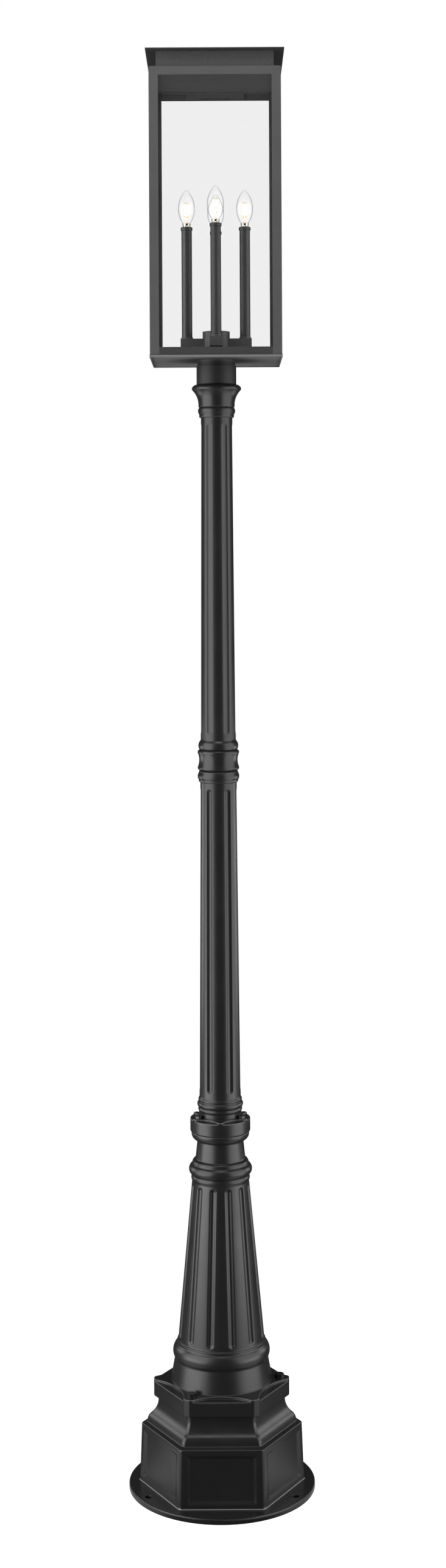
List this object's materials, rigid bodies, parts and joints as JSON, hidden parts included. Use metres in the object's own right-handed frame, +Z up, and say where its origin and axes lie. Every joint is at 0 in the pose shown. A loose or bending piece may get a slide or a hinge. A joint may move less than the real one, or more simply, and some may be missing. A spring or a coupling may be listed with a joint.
{
  "type": "outdoor post light",
  "caption": "Tall black outdoor post light: hexagonal cast plinth, fluted column and shafts, and a square glazed lantern with candle bulbs that turns on its tenon.",
  "frame": {"origin": "centre of the base plate's underside", "axes": "+Z up the post, -Y towards the viewer of the picture, +X to the viewer's right"},
  "size_m": [0.3889, 0.389, 2.9951],
  "materials": {
    "post_coat": "satin",
    "lantern_coat": "matte",
    "black_steel": "satin",
    "plated_steel": "satin",
    "clear_glass": "gloss",
    "bulb_glass": "gloss",
    "holder_plastic": "matte",
    "contact_brass": "satin",
    "cap_nickel": "polished",
    "filament": "matte"
  },
  "bodies": {
    "post": {"base_plate": "post_coat", "plinth": "post_coat", "plinth_bolts": "black_steel", "column": "post_coat", "lower_shaft": "post_coat", "flange_bolts": "black_steel", "coupling_collar": "post_coat", "joint_spigot": "plated_steel", "upper_shaft": "post_coat", "capital": "post_coat"},
    "lantern": {"fitter_collar": "lantern_coat", "set_screws": "black_steel", "floor_pan": "lantern_coat", "bottom_rails": "lantern_coat", "top_rails": "lantern_coat", "corner_post_front_left": "lantern_coat", "corner_post_front_right": "lantern_coat", "corner_post_rear_right": "lantern_coat", "corner_post_rear_left": "lantern_coat", "glass_front": "clear_glass", "glass_rear": "clear_glass", "glass_left": "clear_glass", "glass_right": "clear_glass", "glass_clips": "lantern_coat", "nipple": "plated_steel", "nipple_nuts": "plated_steel", "hub": "lantern_coat", "hub_cap": "lantern_coat", "candle_cups": "lantern_coat", "lampholders": "holder_plastic", "arm_1": "lantern_coat", "arm_2": "lantern_coat", "arm_3": "lantern_coat", "arm_4": "lantern_coat", "sleeve_1": "lantern_coat", "sleeve_2": "lantern_coat", "sleeve_3": "lantern_coat", "sleeve_4": "lantern_coat"},
    "roof": {"lid_plate": "lantern_coat", "roof_neck": "lantern_coat", "roof_plate": "lantern_coat"},
    "contact_1": {"contact_1": "contact_brass"},
    "bulb_1": {"bulb_cap_1": "cap_nickel", "bulb_glass_1": "bulb_glass", "bulb_mount_1": "filament"},
    "contact_2": {"contact_2": "contact_brass"},
    "bulb_2": {"bulb_cap_2": "cap_nickel", "bulb_glass_2": "bulb_glass", "bulb_mount_2": "filament"},
    "contact_3": {"contact_3": "contact_brass"},
    "bulb_3": {"bulb_cap_3": "cap_nickel", "bulb_glass_3": "bulb_glass", "bulb_mount_3": "filament"},
    "contact_4": {"contact_4": "contact_brass"},
    "bulb_4": {"bulb_cap_4": "cap_nickel", "bulb_glass_4": "bulb_glass", "bulb_mount_4": "filament"}
  },
  "joints": [
    {"name": "lantern_turn", "type": "hinge", "parent": "post", "child": "lantern", "pos_m": [0, 0, 2.3065], "axis": [0, 0, 1], "range_deg": [-180, 180]},
    {"name": "roof_lift", "type": "slide", "parent": "lantern", "child": "roof", "axis": [0, 0, 1], "range_m": [0, 0.15]},
    {"name": "contact_1_lift", "type": "slide", "parent": "lantern", "child": "contact_1", "axis": [0, 0, 1], "range_m": [0, 0.0102]},
    {"name": "bulb_1_turn", "type": "hinge", "parent": "contact_1", "child": "bulb_1", "pos_m": [0, -0.061, 2.6371], "axis": [0, 0, 1], "range_deg": [0, 1440]},
    {"name": "contact_2_lift", "type": "slide", "parent": "lantern", "child": "contact_2", "axis": [0, 0, 1], "range_m": [0, 0.0102]},
    {"name": "bulb_2_turn", "type": "hinge", "parent": "contact_2", "child": "bulb_2", "pos_m": [0.061, 0, 2.6371], "axis": [0, 0, 1], "range_deg": [0, 1440]},
    {"name": "contact_3_lift", "type": "slide", "parent": "lantern", "child": "contact_3", "axis": [0, 0, 1], "range_m": [0, 0.0102]},
    {"name": "bulb_3_turn", "type": "hinge", "parent": "contact_3", "child": "bulb_3", "pos_m": [0, 0.061, 2.6371], "axis": [0, 0, 1], "range_deg": [0, 1440]},
    {"name": "contact_4_lift", "type": "slide", "parent": "lantern", "child": "contact_4", "axis": [0, 0, 1], "range_m": [0, 0.0102]},
    {"name": "bulb_4_turn", "type": "hinge", "parent": "contact_4", "child": "bulb_4", "pos_m": [-0.061, 0, 2.6371], "axis": [0, 0, 1], "range_deg": [0, 1440]}
  ],
  "couplings": [
    {"joint": "contact_1_lift", "follows": "bulb_1_turn", "m_per_rad": 0.00040425},
    {"joint": "contact_2_lift", "follows": "bulb_2_turn", "m_per_rad": 0.00040425},
    {"joint": "contact_3_lift", "follows": "bulb_3_turn", "m_per_rad": 0.00040425},
    {"joint": "contact_4_lift", "follows": "bulb_4_turn", "m_per_rad": 0.00040425}
  ]
}
